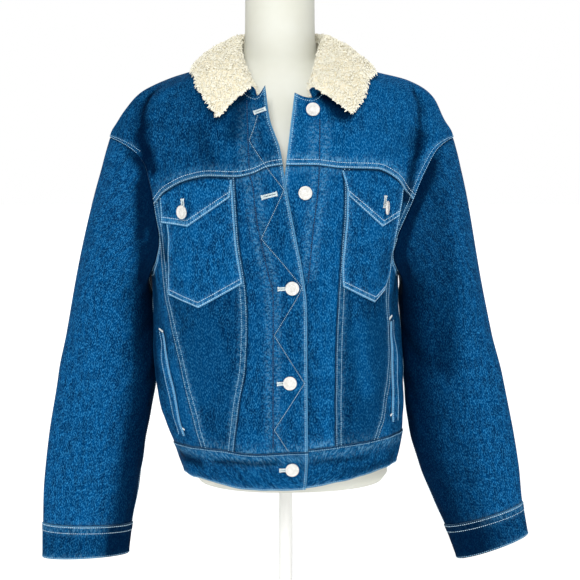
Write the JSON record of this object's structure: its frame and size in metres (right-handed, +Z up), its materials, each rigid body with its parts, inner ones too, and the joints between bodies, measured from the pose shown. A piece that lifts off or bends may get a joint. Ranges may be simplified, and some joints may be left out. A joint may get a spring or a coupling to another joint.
{
  "type": "sherpa lined jacket on dress form",
  "caption": "Boxy denim jacket with a sherpa collar, chest pockets and straight sleeves, worn by a limbless dress form on a pole with a round base.",
  "frame": {"origin": "centre of the stand's round base, on the surface it stands on", "axes": "+Z up along the pole, -Y out of the jacket's front, +X to the right as seen from the front"},
  "size_m": [0.6871, 0.32, 0.936],
  "materials": {
    "denim": "washed mid-blue cotton twill, matt",
    "sherpa": "cream curly pile, matt",
    "button": "ivory, lightly polished",
    "form_shell": "smooth ivory, satin",
    "stand_enamel": "white enamel, satin"
  },
  "bodies": {
    "root": {"dress_form": "form_shell", "stand_pole": "stand_enamel", "stand_base": "stand_enamel", "front_yoke_left": "denim", "front_yoke_right": "denim", "back_yoke": "denim", "centre_front_left": "denim", "centre_front_right": "denim", "middle_front_left": "denim", "middle_front_right": "denim", "side_front_left": "denim", "side_front_right": "denim", "back_centre": "denim", "back_side_left": "denim", "back_side_right": "denim", "chest_pocket_left": "denim", "chest_pocket_right": "denim", "pocket_flap_left": "denim", "pocket_flap_right": "denim", "side_welt_left": "denim", "side_welt_right": "denim", "waistband": "denim", "top_sleeve_left": "denim", "top_sleeve_right": "denim", "under_sleeve_left": "denim", "under_sleeve_right": "denim", "cuff_left": "denim", "cuff_right": "denim", "collar_sherpa": "sherpa", "collar_denim": "denim", "front_button_1": "button", "front_button_2": "button", "front_button_3": "button", "front_button_4": "button", "front_button_5": "button", "flap_button_left": "button", "flap_button_right": "button"}
  },
  "joints": []
}
